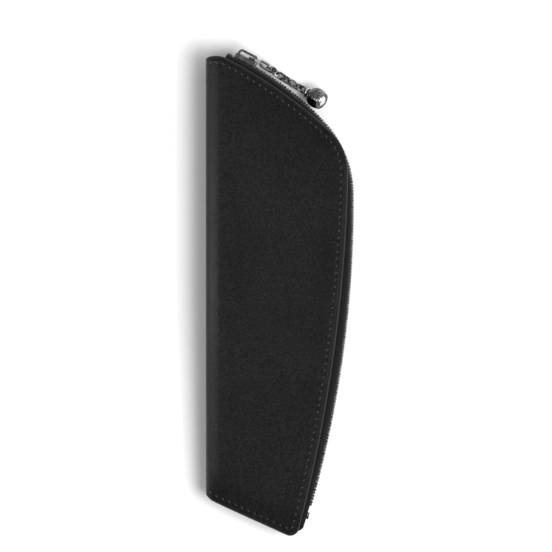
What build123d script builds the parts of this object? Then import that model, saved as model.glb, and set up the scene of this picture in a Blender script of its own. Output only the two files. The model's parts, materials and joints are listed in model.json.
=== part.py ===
"""Zipped leather fountain pen case: a folded hide pocket, closed by a metal zip along its top and its side.

Frame, in millimetres: the case lies on its back panel. X runs across it from the folded spine to the zip,
Y along it towards the slanted top, and Z through its thickness. The origin is on the back face, in the
middle of the case.
"""
from build123d import *
import os
from math import atan, cos, degrees, floor, radians, sin, tan

# --- Overall sizes ------------------------------------------------------------------------------------
case_width = 52.4            # folded spine to the outer faces of the zip teeth
case_thickness = 17.0        # back face to front face
spine_length = 156.3         # straight fold between the top and bottom edges
spine_centre_y = 5.65        # middle of the fold; the slanted bottom hangs below the fold
spine_radius = 5.0           # rounding of the fold, front and back
bottom_slope = 24.4          # degrees that the bottom edge falls away from the fold

# --- Sheet materials ----------------------------------------------------------------------------------
leather = 1.3
interlining = 0.4
lining = 0.5
seam_gap = 0.05              # half the gap between the two linings where the bottom edge is sewn shut
swell = 7.0                  # the case swells quickly over this distance above the sewn bottom edge
swell_half = 5.2             # half its thickness there
taper = 60.0                 # distance above the bottom edge where it reaches its full thickness
edge_inset = 0.4             # cut edges of the linings, set back from the leather's edge

# --- Leather outline: top arc, corner arc and side arc ------------------------------------------------
side_gap = 1.2               # zip line to the leather's edge, where the side stands furthest out
hide_top_radius = 168.5
hide_corner_radius = 20.0
hide_side_radius = 541.8
hide_corner_start = 47.6     # direction that the edge faces where the corner begins, degrees from +X
hide_corner_end = -1.1
hide_widest_below_top = 30.95
hide_foot_radius = 3.2       # rounding where the side meets the bottom edge

# --- Zip line: top arc, corner arc and side arc -------------------------------------------------------
zip_top_radius = 102.3
zip_corner_radius = 36.7
zip_side_radius = 391.8
zip_corner_start = 42.3
zip_corner_end = 0.5
zip_widest_below_top = 51.84
tape = 0.4                   # tape thickness
tape_edge = 0.95             # tape's inner edge, from the case's middle plane
tape_hem = 6.5               # width of tape sewn in under the leather
tape_start_x = 7.5           # from the fold to where the tapes come out of the case
tooth_pitch = 2.2
tooth_width = 0.88
tooth_half_depth = 0.9       # half the tooth's size, outwards
tooth_head = 0.9             # the head crosses the middle plane by this much
tooth_root = 2.0             # the legs end this far from the middle plane
crimp_clearance = 0.01       # legs to tape, each side
zip_end_margin = 8.0         # end of the zip, above the bottom edge
stop_length = 1.6
stop_half_depth = 0.8
stop_gap = 0.6               # stop to the middle plane
end_box_length = 2.4

# --- Slider -------------------------------------------------------------------------------------------
slider_travel = 36.0         # from the closed end to the start of the zip's corner
slider_length = 8.2
slider_half_width = 3.6
slider_tail_half_width = 2.9
slider_nose = 0.6            # share of the half length and half width where the nose is cut back
slider_corner = 0.8
plate = 0.9
plate_clearance = 0.25       # teeth to slider plates
rail_clearance = 0.35        # teeth's legs to slider rails
slot_clearance = 0.2         # tape to slider rails, each side
post_length = 2.2
post_half_width = 0.72
bridge_length = 7.4
bridge_half_width = 0.6
bridge_rise = 2.1
bridge_thickness = 0.8
bridge_corner = 1.3
bridge_inner_corner = 0.5

# --- Pull: lug, chain and bell ------------------------------------------------------------------------
lug_wire = 0.9
lug_half_width = 2.4
lug_arm = 0.9
lug_leg_clearance = 0.5      # crossbar to the bridge's leg
lug_reach = 7.4              # crossbar to the first link
lug_ring_length = 5.4
lug_ring_width = 3.5
lug_tilt = 30.0              # degrees that the lug hangs down towards the chain
link_wire = 0.8
link_length = 4.2            # outside length
link_width = 3.3
link_slack = 0.16            # free play between neighbouring links
chain_lifts = (-38.0, -30.0, -14.0, -1.0, 7.0, 13.0)     # degrees that each link climbs
chain_swings = (0.0, 0.0, 1.0, 3.0, 6.0, 8.0)            # degrees that each link turns away from the zip
bell_lift = 30.0
bell_swing = 7.0
bell_neck_radius = 1.2
bell_radius = 3.6
bell_length = 6.2
bell_neck_length = 2.0
bell_rim_radius = 3.1
bell_shoulder = 1.25          # along the bell, where its flank turns from the neck
bell_shoulder_radius = 2.95
bell_waist = 3.4             # along the bell, where it is widest
bell_lip = 4.8               # along the bell, where it starts to close in to the rim
bell_lip_radius = 3.5
collar_radius = 2.1
collar_length = 0.7
enamel_radius = 2.75
enamel_depth = 0.5
dome_radius = 1.95
dome_rise = 0.8

# --- Front flap ---------------------------------------------------------------------------------------
fold_after_slider = 1.4      # gap between the slider at rest and the fold
fold_kerf = 0.08             # half the gap in the front panel along the fold
fold_foot_margin = 16.0      # the fold's foot, before the end of the zip

# --- Pen loop -----------------------------------------------------------------------------------------
loop_leather = 1.2
loop_half_width = 7.2        # inside
loop_height = 9.4            # inside
loop_length = 20.0           # along the pen
loop_foot = 4.5
loop_x = -6.5
loop_y = 22.0
loop_corner = 4.0

# --- Derived places -----------------------------------------------------------------------------------
FAR = 400.0
middle = case_thickness / 2
spine_x = -case_width / 2
spine_top_y = spine_centre_y + spine_length / 2
spine_bottom_y = spine_centre_y - spine_length / 2
zip_widest_x = case_width / 2 - tooth_half_depth
hide_widest_x = zip_widest_x - side_gap
lining_layer = leather + interlining
cavity_layer = lining_layer + lining
seam_half = cavity_layer + seam_gap
flange_depth = side_gap + tape_hem
channel_half_width = tooth_root + rail_clearance
plate_inner = tooth_half_depth + plate_clearance
plate_outer = plate_inner + plate
crossbar_x = bridge_length / 2 - bridge_thickness - lug_leg_clearance - lug_wire / 2
crossbar_n = plate_outer + (bridge_rise - bridge_thickness) / 2
link_pitch = link_length - 2 * link_wire - link_slack


def unit(angle):
    """Plan vector that points in a direction given in degrees."""
    return Vector(cos(radians(angle)), sin(radians(angle)))


class Run:
    """The closed side of the case in plan: a top arc, a corner arc and a side arc, all tangent.

    Distance s is zero where the corner begins and grows down the side."""

    def __init__(self, widest_x, widest_y, top_radius, corner_radius, side_radius, corner_start, corner_end):
        self.radii = (top_radius, corner_radius, side_radius)
        self.starts = (corner_start, corner_start, corner_end)
        side_centre = Vector(widest_x - side_radius, widest_y)
        corner_centre = side_centre + unit(corner_end) * (side_radius - corner_radius)
        top_centre = corner_centre + unit(corner_start) * (corner_radius - top_radius)
        self.centres = (top_centre, corner_centre, side_centre)
        self.corner_length = radians(corner_start - corner_end) * corner_radius

    def at(self, s, inset=0.0):
        """Point at distance s, moved in by inset, and the direction that the edge faces there."""
        arc = 0 if s <= 0 else 1 if s <= self.corner_length else 2
        start_s = self.corner_length if arc == 2 else 0.0
        angle = self.starts[arc] - degrees((s - start_s) / self.radii[arc])
        return self.centres[arc] + unit(angle) * (self.radii[arc] - inset), angle

    def edges(self, start, end, inset=0.0):
        """The three arcs from s = start on the top to s = end on the side."""
        stations = (start, 0.0, self.corner_length, end)
        arcs = []
        for first, last in zip(stations, stations[1:]):
            points = [self.at(s, inset)[0] for s in (first, (first + last) / 2, last)]
            arcs.append(ThreePointArc(*points))
        return arcs

    def s_where(self, height, low, high):
        """Distance between low and high where height(point) changes sign."""
        sign = height(self.at(low)[0]) < 0
        for _ in range(60):
            half = (low + high) / 2
            if (height(self.at(half)[0]) < 0) == sign:
                low = half
            else:
                high = half
        return (low + high) / 2


hide_run = Run(
    hide_widest_x, spine_top_y - hide_widest_below_top, hide_top_radius, hide_corner_radius, hide_side_radius,
    hide_corner_start, hide_corner_end,
)
zip_run = Run(
    zip_widest_x, spine_top_y - zip_widest_below_top, zip_top_radius, zip_corner_radius, zip_side_radius,
    zip_corner_start, zip_corner_end,
)


def above_bottom(point):
    """Distance of a point above the slanted bottom edge."""
    across = (point.X - spine_x) * sin(radians(bottom_slope))
    return across + (point.Y - spine_bottom_y) * cos(radians(bottom_slope))


slider_s = -slider_travel
tape_start = zip_run.s_where(lambda p: p.X - (spine_x + tape_start_x), -2 * slider_travel, 0)
zip_end = zip_run.s_where(lambda p: above_bottom(p) - zip_end_margin, zip_run.corner_length, FAR / 2)
teeth_start = slider_s - slider_length / 2 + post_length + tooth_pitch / 2
teeth_count = floor((zip_end - end_box_length - teeth_start) / tooth_pitch)
fold_teeth = round((slider_length - post_length + fold_after_slider) / tooth_pitch)
foot_teeth = teeth_count - round(fold_foot_margin / tooth_pitch)
fold_top = zip_run.at(teeth_start + (fold_teeth - 0.5) * tooth_pitch)[0]
fold_foot = zip_run.at(teeth_start + (foot_teeth - 0.5) * tooth_pitch)[0]


def place(s, out=0.0, up=0.0):
    """Frame on the zip line: x along the zip, y outwards, z up from the middle plane."""
    point, angle = zip_run.at(s)
    return Pos(point.X, point.Y, middle) * Rot(0, 0, angle - 90) * Pos(0, out, up)


def panel_face(inset=0.0):
    """Plan of one hide panel, moved in by inset on every side."""
    left = spine_x + inset
    top = spine_top_y - inset
    top_s = hide_run.s_where(lambda p: p.Y - top, -FAR / 4, 0)
    flat_end_x = hide_run.at(top_s, inset)[0].X
    foot_s = hide_run.s_where(lambda p: above_bottom(p) - inset, hide_run.corner_length, FAR / 2)
    foot = hide_run.at(foot_s, inset)[0]
    fall = (inset - inset * sin(radians(bottom_slope))) / cos(radians(bottom_slope))
    left_foot = Vector(left, spine_bottom_y + fall)
    flat_start = Vector(left, top)
    flat_end = Vector(flat_end_x, hide_run.at(top_s, inset)[0].Y)
    arcs = hide_run.edges(top_s, foot_s, inset)
    edges = [Line(left_foot, flat_start), Line(flat_start, flat_end), *arcs, Line(foot, left_foot)]
    face = make_face(Wire(edges))
    corner = face.vertices().sort_by_distance((foot.X, foot.Y, 0))[0]
    return fillet(corner, hide_foot_radius - inset)


def strip(start, end, outset, inset):
    """Band along the zip line, in plan."""
    outer = zip_run.edges(start, end, -outset)
    inner = zip_run.edges(start, end, inset)
    ends = [Line(outer[0] @ 0, inner[0] @ 0), Line(outer[-1] @ 1, inner[-1] @ 1)]
    return make_face(Wire([*outer, *inner, *ends]))


def shell(depth):
    """Everything deeper than depth below the case's outer skin, without an end towards the zip."""
    tube = Pos(spine_x + depth + FAR / 2, 0, middle) * Box(FAR, FAR, case_thickness - 2 * depth)
    tube = fillet(tube.edges().filter_by(Axis.Y).group_by(Axis.X)[0], max(spine_radius - depth, 0.4))
    steep = atan((swell_half - seam_half) / swell)
    gentle = atan((middle - swell_half) / (taper - swell))
    foot_height = seam_half - depth / cos(steep)
    slope_height = swell_half - depth / cos(gentle) - swell * tan(gentle)
    start = max(-1.0, (seam_gap - foot_height) / tan(steep))
    knee = (slope_height - foot_height) / (tan(steep) - tan(gentle))
    full = (middle - depth - slope_height) / tan(gentle)
    upper = [
        (start, foot_height + start * tan(steep)), (knee, foot_height + knee * tan(steep)),
        (full, middle - depth), (FAR, middle - depth),
    ]
    profile = make_face(Polyline(*upper, *[(v, -height) for v, height in reversed(upper)], close=True))
    base = Plane(
        origin=(spine_x, spine_bottom_y, middle),
        x_dir=(sin(radians(bottom_slope)), cos(radians(bottom_slope)), 0),
        z_dir=(-cos(radians(bottom_slope)), sin(radians(bottom_slope)), 0),
    )
    return tube & extrude(base * profile, FAR, both=True)


def slab(face, low, high):
    return Pos(0, 0, low) * extrude(face, high - low)


def layer(face, outer, inner):
    """A sheet of the folded case, between two depths below its skin."""
    return slab(face, 0, case_thickness) & (shell(outer) - shell(inner))


def flip(shape):
    """The same shape on the other half of the case."""
    return shape.mirror(Plane(origin=(0, 0, middle), z_dir=(0, 0, 1)))


fold_line = Vector(fold_foot.X - fold_top.X, fold_foot.Y - fold_top.Y).normalized()
fold_plane = Plane(origin=(fold_top.X, fold_top.Y, middle), x_dir=fold_line, z_dir=(0, 0, 1))
flap_side = fold_plane.location * Pos(0, fold_kerf + FAR / 2, FAR / 2) * Box(2 * FAR, FAR, FAR)
flap_cut = fold_plane.location * Pos(0, FAR / 2 - fold_kerf, FAR / 2) * Box(2 * FAR, FAR, FAR)
front_half = Pos(0, 0, middle + FAR / 2) * Box(2 * FAR, 2 * FAR, FAR)

# --- Leather, interlinings and linings ----------------------------------------------------------------
hem_strip = strip(tape_start - 1, zip_end + 1, 2 * side_gap, flange_depth + edge_inset)
hem_zone = slab(hem_strip, 0, case_thickness)
hide = layer(panel_face(), 0, leather)
stiffening = layer(panel_face(edge_inset), leather, lining_layer) - hem_zone
wall_zone = slab(strip(tape_start - 1, zip_end + 1, 2 * side_gap, tape), 0, case_thickness)
inside = layer(panel_face(edge_inset), lining_layer, cavity_layer) - wall_zone
front_stiffening = stiffening & front_half

nodes = {}
nodes["cover_leather"] = hide - flap_cut
nodes["flap_leather"] = hide & flap_side
nodes["back_interlining"] = stiffening - front_half
nodes["strip_interlining"] = front_stiffening - flap_cut
nodes["flap_interlining"] = front_stiffening & flap_side
nodes["cover_lining"] = inside - flap_cut
nodes["flap_lining"] = inside & flap_side

# --- Closed end beside the fold -----------------------------------------------------------------------
gusset_width = tape_start_x - cavity_layer - tape_edge
gusset_x = spine_x + cavity_layer + gusset_width / 2
gusset = Pos(gusset_x, spine_top_y - edge_inset - leather / 2, middle) * Box(
    gusset_width, leather, case_thickness
)
nodes["top_gusset"] = gusset & shell(cavity_layer)

# --- Tapes: an upright wall on the zip line and a hem sewn in under the leather -----------------------
tape_zone = shell(leather)
wall = slab(strip(tape_start, zip_end, tape / 2, tape / 2), middle + tape_edge, case_thickness)
hem = slab(strip(tape_start, zip_end, tape / 2, flange_depth), middle, case_thickness)
front_tape = (wall & tape_zone) + (hem & (tape_zone - shell(leather + tape)))
fixed_tape = front_tape - flap_cut
nodes["back_tape"] = flip(front_tape)
nodes["flap_tape"] = front_tape & flap_side
nodes["head_tape"] = fixed_tape.solids().sort_by(Axis.Y)[-1]
nodes["foot_tape"] = fixed_tape.solids().sort_by(Axis.Y)[0]


# --- Teeth, stops and the box at the closed bottom end ------------------------------------------------
def crimp(length, half_depth, low, high):
    """A metal piece clenched on the tape's edge, from low to high, with legs on both faces."""
    block = Pos(0, 0, (low + high) / 2) * Box(length, 2 * half_depth, high - low)
    return block - Pos(0, 0, tape_edge + FAR / 2) * Box(FAR, tape + 2 * crimp_clearance, FAR)


tooth = crimp(tooth_width, tooth_half_depth, -tooth_head, tooth_root)
front_teeth = [place(teeth_start + i * tooth_pitch) * tooth for i in range(teeth_count)]
back_teeth = [flip(place(teeth_start + (i + 0.5) * tooth_pitch) * tooth) for i in range(teeth_count)]
nodes["head_teeth"] = Compound(front_teeth[:fold_teeth])
nodes["flap_teeth"] = Compound(front_teeth[fold_teeth:foot_teeth])
nodes["foot_teeth"] = Compound(front_teeth[foot_teeth:])
nodes["back_teeth"] = Compound(back_teeth)

stop_place = place(slider_s - slider_length / 2 - stop_length)
stop = stop_place * crimp(stop_length, stop_half_depth, stop_gap, tooth_root)
nodes["top_stops"] = Compound([stop, flip(stop)])
end_box = crimp(end_box_length, tooth_half_depth, 0, tooth_root)
nodes["end_box"] = place(zip_end - end_box_length / 2) * (end_box + end_box.mirror(Plane.XY))

# --- Pen loop: an arched strap whose feet lie on the back lining --------------------------------------
loop_outer_width = 2 * (loop_half_width + loop_leather)
arch_height = loop_height + loop_leather
arch = Pos(0, 0, arch_height / 2) * Box(loop_outer_width, loop_length, arch_height)
arch = fillet(arch.edges().filter_by(Axis.Y).group_by(Axis.Z)[-1], loop_corner)
gap = Pos(0, 0, loop_height / 2) * Box(2 * loop_half_width, loop_length, loop_height)
gap = fillet(gap.edges().filter_by(Axis.Y).group_by(Axis.Z)[-1], loop_corner - loop_leather)
feet_width = loop_outer_width + 2 * loop_foot
feet = Pos(0, 0, loop_leather / 2) * Box(feet_width, loop_length, loop_leather)
nodes["pen_loop"] = Pos(loop_x, loop_y, cavity_layer) * (arch + feet - gap)

# --- Slider -------------------------------------------------------------------------------------------
half_length = slider_length / 2
nose_x = half_length * slider_nose
nose_half_width = slider_half_width * slider_nose
plan = Polyline(
    (-half_length, -nose_half_width), (-nose_x, -slider_half_width), (0, -slider_half_width),
    (half_length, -slider_tail_half_width), (half_length, slider_tail_half_width), (0, slider_half_width),
    (-nose_x, slider_half_width), (-half_length, nose_half_width), close=True,
)
body = extrude(Plane.XZ * make_face(plan), plate_outer, both=True)
body = fillet(body.edges().filter_by(Axis.Y), slider_corner)
body -= Box(2 * slider_length, 2 * plate_inner, 2 * channel_half_width)
body -= Box(2 * slider_length, tape + 2 * slot_clearance, 4 * slider_half_width)
post_plan = Polyline(
    (-half_length, -post_half_width / 2), (-half_length + post_length / 3, -post_half_width),
    (-half_length + post_length, 0),
    (-half_length + post_length / 3, post_half_width), (-half_length, post_half_width / 2), close=True,
)
body += extrude(Plane.XZ * make_face(post_plan), plate_inner, both=True)
slider_frame = place(slider_s)
nodes["slider_body"] = slider_frame * body

bridge = Pos(0, bridge_rise / 2, 0) * Box(bridge_length, bridge_rise, 2 * bridge_half_width)
bridge = fillet(bridge.edges().filter_by(Axis.Z).group_by(Axis.Y)[-1], bridge_corner)
window_length = bridge_length - 2 * bridge_thickness
window_rise = bridge_rise - bridge_thickness
bridge_window = Pos(0, window_rise / 2, 0) * Box(window_length, window_rise, 2 * bridge_half_width)
bridge_window = fillet(bridge_window.edges().filter_by(Axis.Z).group_by(Axis.Y)[-1], bridge_inner_corner)
nodes["slider_bridge"] = slider_frame * Pos(0, plate_outer, 0) * (bridge - bridge_window)


# --- Pull lug, chain and bell -------------------------------------------------------------------------
def oval(length, width, wire):
    """Closed wire link, flat in XY, with its length along X."""
    end = (width - wire) / 2
    half = (length - wire) / 2 - end
    path = Wire([
        Line((-half, -end), (half, -end)), ThreePointArc((half, -end), (half + end, 0), (half, end)),
        Line((half, end), (-half, end)), ThreePointArc((-half, end), (-half - end, 0), (-half, -end)),
    ])
    return sweep(Plane(origin=path @ 0, z_dir=path % 0) * Circle(wire / 2), path)


leg_window = bridge_thickness + 2 * lug_leg_clearance
lug_shoulder = lug_wire / 2 + leg_window
lug_tip = lug_reach + link_slack / 2 + lug_wire - lug_ring_length + lug_wire / 2
lug_plan = make_face(Polyline(
    (0, -lug_half_width), (lug_shoulder, -lug_half_width), (lug_tip, -lug_arm / 2), (lug_tip, lug_arm / 2),
    (lug_shoulder, lug_half_width), (0, lug_half_width), close=True,
))
lug = extrude(Plane.XZ * lug_plan, lug_wire / 2, both=True)
lug_opening = Pos(lug_shoulder / 2, 0, 0) * Box(lug_shoulder, FAR, 2 * (lug_half_width - lug_arm))
lug_ring = Rot(90, 0, 0) * oval(lug_ring_length, lug_ring_width, lug_wire)
ring_x = lug_reach + link_slack / 2 + lug_wire - lug_ring_length / 2
lug = lug - lug_opening + Cylinder(lug_wire / 2, 2 * lug_half_width)
lug += Pos(ring_x, 0, 0) * Rot(45, 0, 0) * lug_ring
lug_frame = slider_frame * Pos(crossbar_x, crossbar_n, 0) * Rot(0, lug_tilt, 0)
nodes["pull_lug"] = lug_frame * lug


def hang(pivot, heading, lift):
    """Frame at a pivot: x along the link, z up, for a compass heading and a climb in degrees."""
    return Pos(pivot.X, pivot.Y, pivot.Z) * Rot(0, 0, heading) * Rot(0, -lift, 0)


pivots = [(lug_frame * Pos(lug_reach, 0, 0)).position]
headings = []
travel = crossbar_x + lug_reach * cos(radians(lug_tilt))
link = oval(link_length, link_width, link_wire)
for number, (lift, swing) in enumerate(zip(chain_lifts, chain_swings), start=1):
    heading = zip_run.at(slider_s + travel)[1] - 90 + swing
    frame = hang(pivots[-1], heading, lift)
    roll = 45 if number % 2 else -45
    nodes[f"chain_link_{number}"] = frame * Pos(link_pitch / 2, 0, 0) * Rot(roll, 0, 0) * link
    pivots.append((frame * Pos(link_pitch, 0, 0)).position)
    headings.append(heading)
    travel += link_pitch * cos(radians(lift))

bell_heading = zip_run.at(slider_s + travel)[1] - 90 + bell_swing
bell_frame = hang(pivots[-1], bell_heading, bell_lift)
eye_centre = link_width / 2 - link_wire - link_slack / 2
eye_roll = 45 if len(chain_lifts) % 2 == 0 else -45
neck_x = eye_centre + (link_width - link_wire) / 2 - link_wire / 4
bell_x = neck_x + bell_neck_length
rim_x = bell_x + bell_length
nodes["bell_eye"] = bell_frame * Pos(eye_centre, 0, 0) * Rot(eye_roll, 0, 0) * Torus(
    (link_width - link_wire) / 2, link_wire / 2
)
nodes["bell_eye"] += bell_frame * Pos(neck_x + bell_neck_length / 2, 0, 0) * Rot(0, 90, 0) * Cylinder(
    bell_neck_radius, bell_neck_length
)
neck_end = (bell_x, bell_neck_radius)
shoulder = (bell_x + bell_shoulder, bell_shoulder_radius)
waist = (bell_x + bell_waist, bell_radius)
lip = (bell_x + bell_lip, bell_lip_radius)
rim = (rim_x, bell_rim_radius)
bell_profile = make_face([
    Line((bell_x, 0), neck_end),
    ThreePointArc(neck_end, shoulder, waist),
    ThreePointArc(waist, lip, rim),
    Line(rim, (rim_x, enamel_radius)),
    Line((rim_x, enamel_radius), (rim_x - enamel_depth, enamel_radius)),
    Line((rim_x - enamel_depth, enamel_radius), (rim_x - enamel_depth, 0)),
    Line((rim_x - enamel_depth, 0), (bell_x, 0)),
])
nodes["bell_shell"] = bell_frame * revolve(bell_profile, Axis.X)
along_bell = Rot(0, 90, 0)
enamel = Cylinder(enamel_radius, enamel_depth) - Cylinder(dome_radius, enamel_depth)
nodes["bell_enamel_ring"] = bell_frame * Pos(rim_x - enamel_depth / 2, 0, 0) * along_bell * enamel
dome_ball = (dome_radius**2 + dome_rise**2) / (2 * dome_rise)
dome_turn = atan(dome_radius / (dome_ball - dome_rise)) / 2
dome_flank = (rim_x + dome_rise - dome_ball * (1 - cos(dome_turn)), dome_ball * sin(dome_turn))
dome_profile = make_face([
    Line((rim_x - enamel_depth, 0), (rim_x - enamel_depth, dome_radius)),
    Line((rim_x - enamel_depth, dome_radius), (rim_x, dome_radius)),
    ThreePointArc((rim_x, dome_radius), dome_flank, (rim_x + dome_rise, 0)),
    Line((rim_x + dome_rise, 0), (rim_x - enamel_depth, 0)),
])
nodes["bell_dome"] = bell_frame * revolve(dome_profile, Axis.X)
collar = Cylinder(collar_radius, collar_length) - Cylinder(bell_neck_radius, collar_length)
nodes["bell_collar"] = bell_frame * Pos(bell_x - collar_length / 2, 0, 0) * along_bell * collar

os.makedirs("parts", exist_ok=True)
for name, shape in nodes.items():
    export_step(shape, f"parts/{name}.step")
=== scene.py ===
"""Finished look of a zipped leather pen case: hide, linings, zip, slider, bell, thread and studio."""
import json
import math

import bmesh
import bpy
import numpy as np
from bpy.props import FloatProperty, FloatVectorProperty, IntProperty, PointerProperty
from mathutils import Matrix, Vector, noise


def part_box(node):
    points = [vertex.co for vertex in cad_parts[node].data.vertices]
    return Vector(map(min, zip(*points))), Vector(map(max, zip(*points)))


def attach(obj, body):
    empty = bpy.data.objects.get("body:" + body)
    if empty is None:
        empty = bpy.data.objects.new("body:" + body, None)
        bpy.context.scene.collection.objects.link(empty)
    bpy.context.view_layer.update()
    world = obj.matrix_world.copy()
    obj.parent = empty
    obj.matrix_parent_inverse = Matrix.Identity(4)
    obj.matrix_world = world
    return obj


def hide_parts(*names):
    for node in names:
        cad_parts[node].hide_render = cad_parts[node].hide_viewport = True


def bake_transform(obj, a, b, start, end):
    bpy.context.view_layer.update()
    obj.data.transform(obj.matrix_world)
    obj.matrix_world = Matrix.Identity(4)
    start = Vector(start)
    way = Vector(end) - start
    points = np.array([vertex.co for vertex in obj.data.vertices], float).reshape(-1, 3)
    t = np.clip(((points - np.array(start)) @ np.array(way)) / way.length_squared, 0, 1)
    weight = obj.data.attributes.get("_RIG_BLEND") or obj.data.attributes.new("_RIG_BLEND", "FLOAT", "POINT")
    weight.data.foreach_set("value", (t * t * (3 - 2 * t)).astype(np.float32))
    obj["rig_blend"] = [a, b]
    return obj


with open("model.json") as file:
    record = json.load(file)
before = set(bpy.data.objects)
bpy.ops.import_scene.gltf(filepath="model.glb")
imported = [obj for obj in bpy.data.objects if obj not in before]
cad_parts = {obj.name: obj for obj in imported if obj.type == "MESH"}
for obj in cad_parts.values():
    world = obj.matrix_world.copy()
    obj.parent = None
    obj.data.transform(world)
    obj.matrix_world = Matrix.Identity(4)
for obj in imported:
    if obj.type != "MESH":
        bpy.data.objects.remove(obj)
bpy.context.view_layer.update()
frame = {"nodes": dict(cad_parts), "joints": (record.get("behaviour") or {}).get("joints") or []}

bl_info = {
    "name": "Zipped pen case",
    "version": (1, 0, 0),
    "blender": (4, 5, 0),
    "location": "View3D > Sidebar > Pen case",
    "description": "Builds the finished surfaces of a zipped leather pen case around its working frame",
    "category": "Object",
}

MM = 0.001

# --- Places taken from the frame ------------------------------------------------------------------
cover_low, cover_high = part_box("cover_leather")
SPINE_X = cover_low[0]
TOP_Y = cover_high[1]
FRONT_Z = cover_high[2]
MIDDLE = FRONT_Z / 2
JOINTS = {joint["name"]: joint for joint in frame["joints"]}

# --- Outline of the case: each run is a top arc, a corner arc and a side arc ----------------------
SPINE_LENGTH = 156.3 * MM
SPINE_RADIUS = 5.0 * MM
FOLD_X = SPINE_X + 6.0 * MM          # panels end here, and the fold wraps round from it
SHOULDER_RADIUS = 8.0 * MM           # rounding where the top edge turns down from the fold
FOOT_RADIUS = 3.2 * MM
BOTTOM_SLOPE = math.radians(24.4)
SPINE_BOTTOM_Y = TOP_Y - SPINE_LENGTH
ZIP_WIDEST_X = SPINE_X + 51.5 * MM
HIDE_WIDEST_X = ZIP_WIDEST_X - 1.2 * MM
SWELL = 7.0 * MM                     # the case swells quickly over this distance above the sewn bottom
SWELL_HALF = 5.2 * MM                # half its thickness there
TAPER = 60.0 * MM                    # it reaches its full thickness this far above the sewn bottom
SEAM_HALF = 2.25 * MM
PILLOW_DROP = 1.2 * MM               # the face falls away by this much at the zip
PILLOW_WIDTH = 9.0 * MM
EDGE_BAND = 3.1 * MM                 # worked band along the edge: bead, crease and stitch channel
ACROSS, ALONG = 64, 170              # points across a panel and along it

# --- Zip places, as distances along its run, zero where the corner begins -------------------------
SLIDER_S = -36.0 * MM
SLIDER_LENGTH = 8.2 * MM
POST_LENGTH = 2.2 * MM
TAPE_START_X = SPINE_X + 7.5 * MM
TAPE_TUCK = 5.0 * MM                 # the tapes turn in under the leather this far above the bottom
TAPE_EDGE = 0.95 * MM                # tape's beaded edge, from the middle plane

# --- Fold line of the front flap ------------------------------------------------------------------
FLAP_AXIS = Vector(JOINTS["flap_open"]["axis"])
FLAP_POINT = Vector(JOINTS["flap_open"]["pos_m"])
FLAP_SIDE = Vector((-FLAP_AXIS.y, FLAP_AXIS.x, 0.0))
BEND_START = FLAP_POINT - FLAP_SIDE * 0.5 * MM
BEND_END = FLAP_POINT + FLAP_SIDE * 10.0 * MM


def unit(angle):
    return np.array([math.cos(angle), math.sin(angle)])


def smooth(share):
    share = np.clip(share, 0.0, 1.0)
    return share * share * (3.0 - 2.0 * share)


class Run:
    """Closed side of the case in plan; s is zero where the corner begins and grows down the side."""

    def __init__(self, widest_x, widest_y, radii, corner_start, corner_end):
        self.radii = [r * MM for r in radii]
        self.starts = [math.radians(a) for a in (corner_start, corner_start, corner_end)]
        top, corner, side = self.radii
        side_centre = np.array([widest_x - side, widest_y])
        corner_centre = side_centre + unit(self.starts[2]) * (side - corner)
        top_centre = corner_centre + unit(self.starts[1]) * (corner - top)
        self.centres = [top_centre, corner_centre, side_centre]
        self.corner_length = (self.starts[1] - self.starts[2]) * corner

    def at(self, s, inset=0.0):
        arc = 0 if s <= 0 else 1 if s <= self.corner_length else 2
        angle = self.starts[arc] - (s - (self.corner_length if arc == 2 else 0)) / self.radii[arc]
        return self.centres[arc] + unit(angle) * (self.radii[arc] - inset), angle

    def s_where(self, height, low, high, inset=0.0):
        sign = height(self.at(low, inset)[0]) < 0
        for _ in range(50):
            half = (low + high) / 2
            if (height(self.at(half, inset)[0]) < 0) == sign:
                low = half
            else:
                high = half
        return (low + high) / 2


HIDE = Run(HIDE_WIDEST_X, TOP_Y - 30.95 * MM, (168.5, 20.0, 541.8), 47.6, -1.1)
ZIP = Run(ZIP_WIDEST_X, TOP_Y - 51.84 * MM, (102.3, 36.7, 391.8), 42.3, 0.5)


def bottom_y(x):
    return SPINE_BOTTOM_Y - (x - SPINE_X) * math.tan(BOTTOM_SLOPE)


def above_bottom(points):
    """Distance of plan points above the slanted bottom edge."""
    return (points[..., 1] - bottom_y(points[..., 0])) * math.cos(BOTTOM_SLOPE)


def arc_points(centre, radius, start, end, count):
    angles = np.linspace(start, end, count)
    normals = np.stack([np.cos(angles), np.sin(angles)], 1)
    return centre + normals * radius, normals


def run_points(run, start, end, count):
    samples = [run.at(s) for s in np.linspace(start, end, count)]
    return np.array([p for p, _ in samples]), np.array([unit(a) for _, a in samples])


def lengths_along(points):
    return np.concatenate([[0.0], np.cumsum(np.linalg.norm(np.diff(points, axis=0), axis=1))])


TOP_S = HIDE.s_where(lambda p: p[1] - (TOP_Y - SHOULDER_RADIUS), -0.1, 0, SHOULDER_RADIUS)
SHOULDER, SHOULDER_ANGLE = HIDE.at(TOP_S, SHOULDER_RADIUS)
TOP_ANGLE = math.acos(max(FOLD_X - SHOULDER[0], 0.0) / SHOULDER_RADIUS)


def top_y(x):
    """Top edge over the fold: level, then turning down on the shoulder's arc."""
    past = np.maximum(x - SHOULDER[0], 0.0)
    return TOP_Y - SHOULDER_RADIUS + np.sqrt(SHOULDER_RADIUS**2 - past**2)


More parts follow.
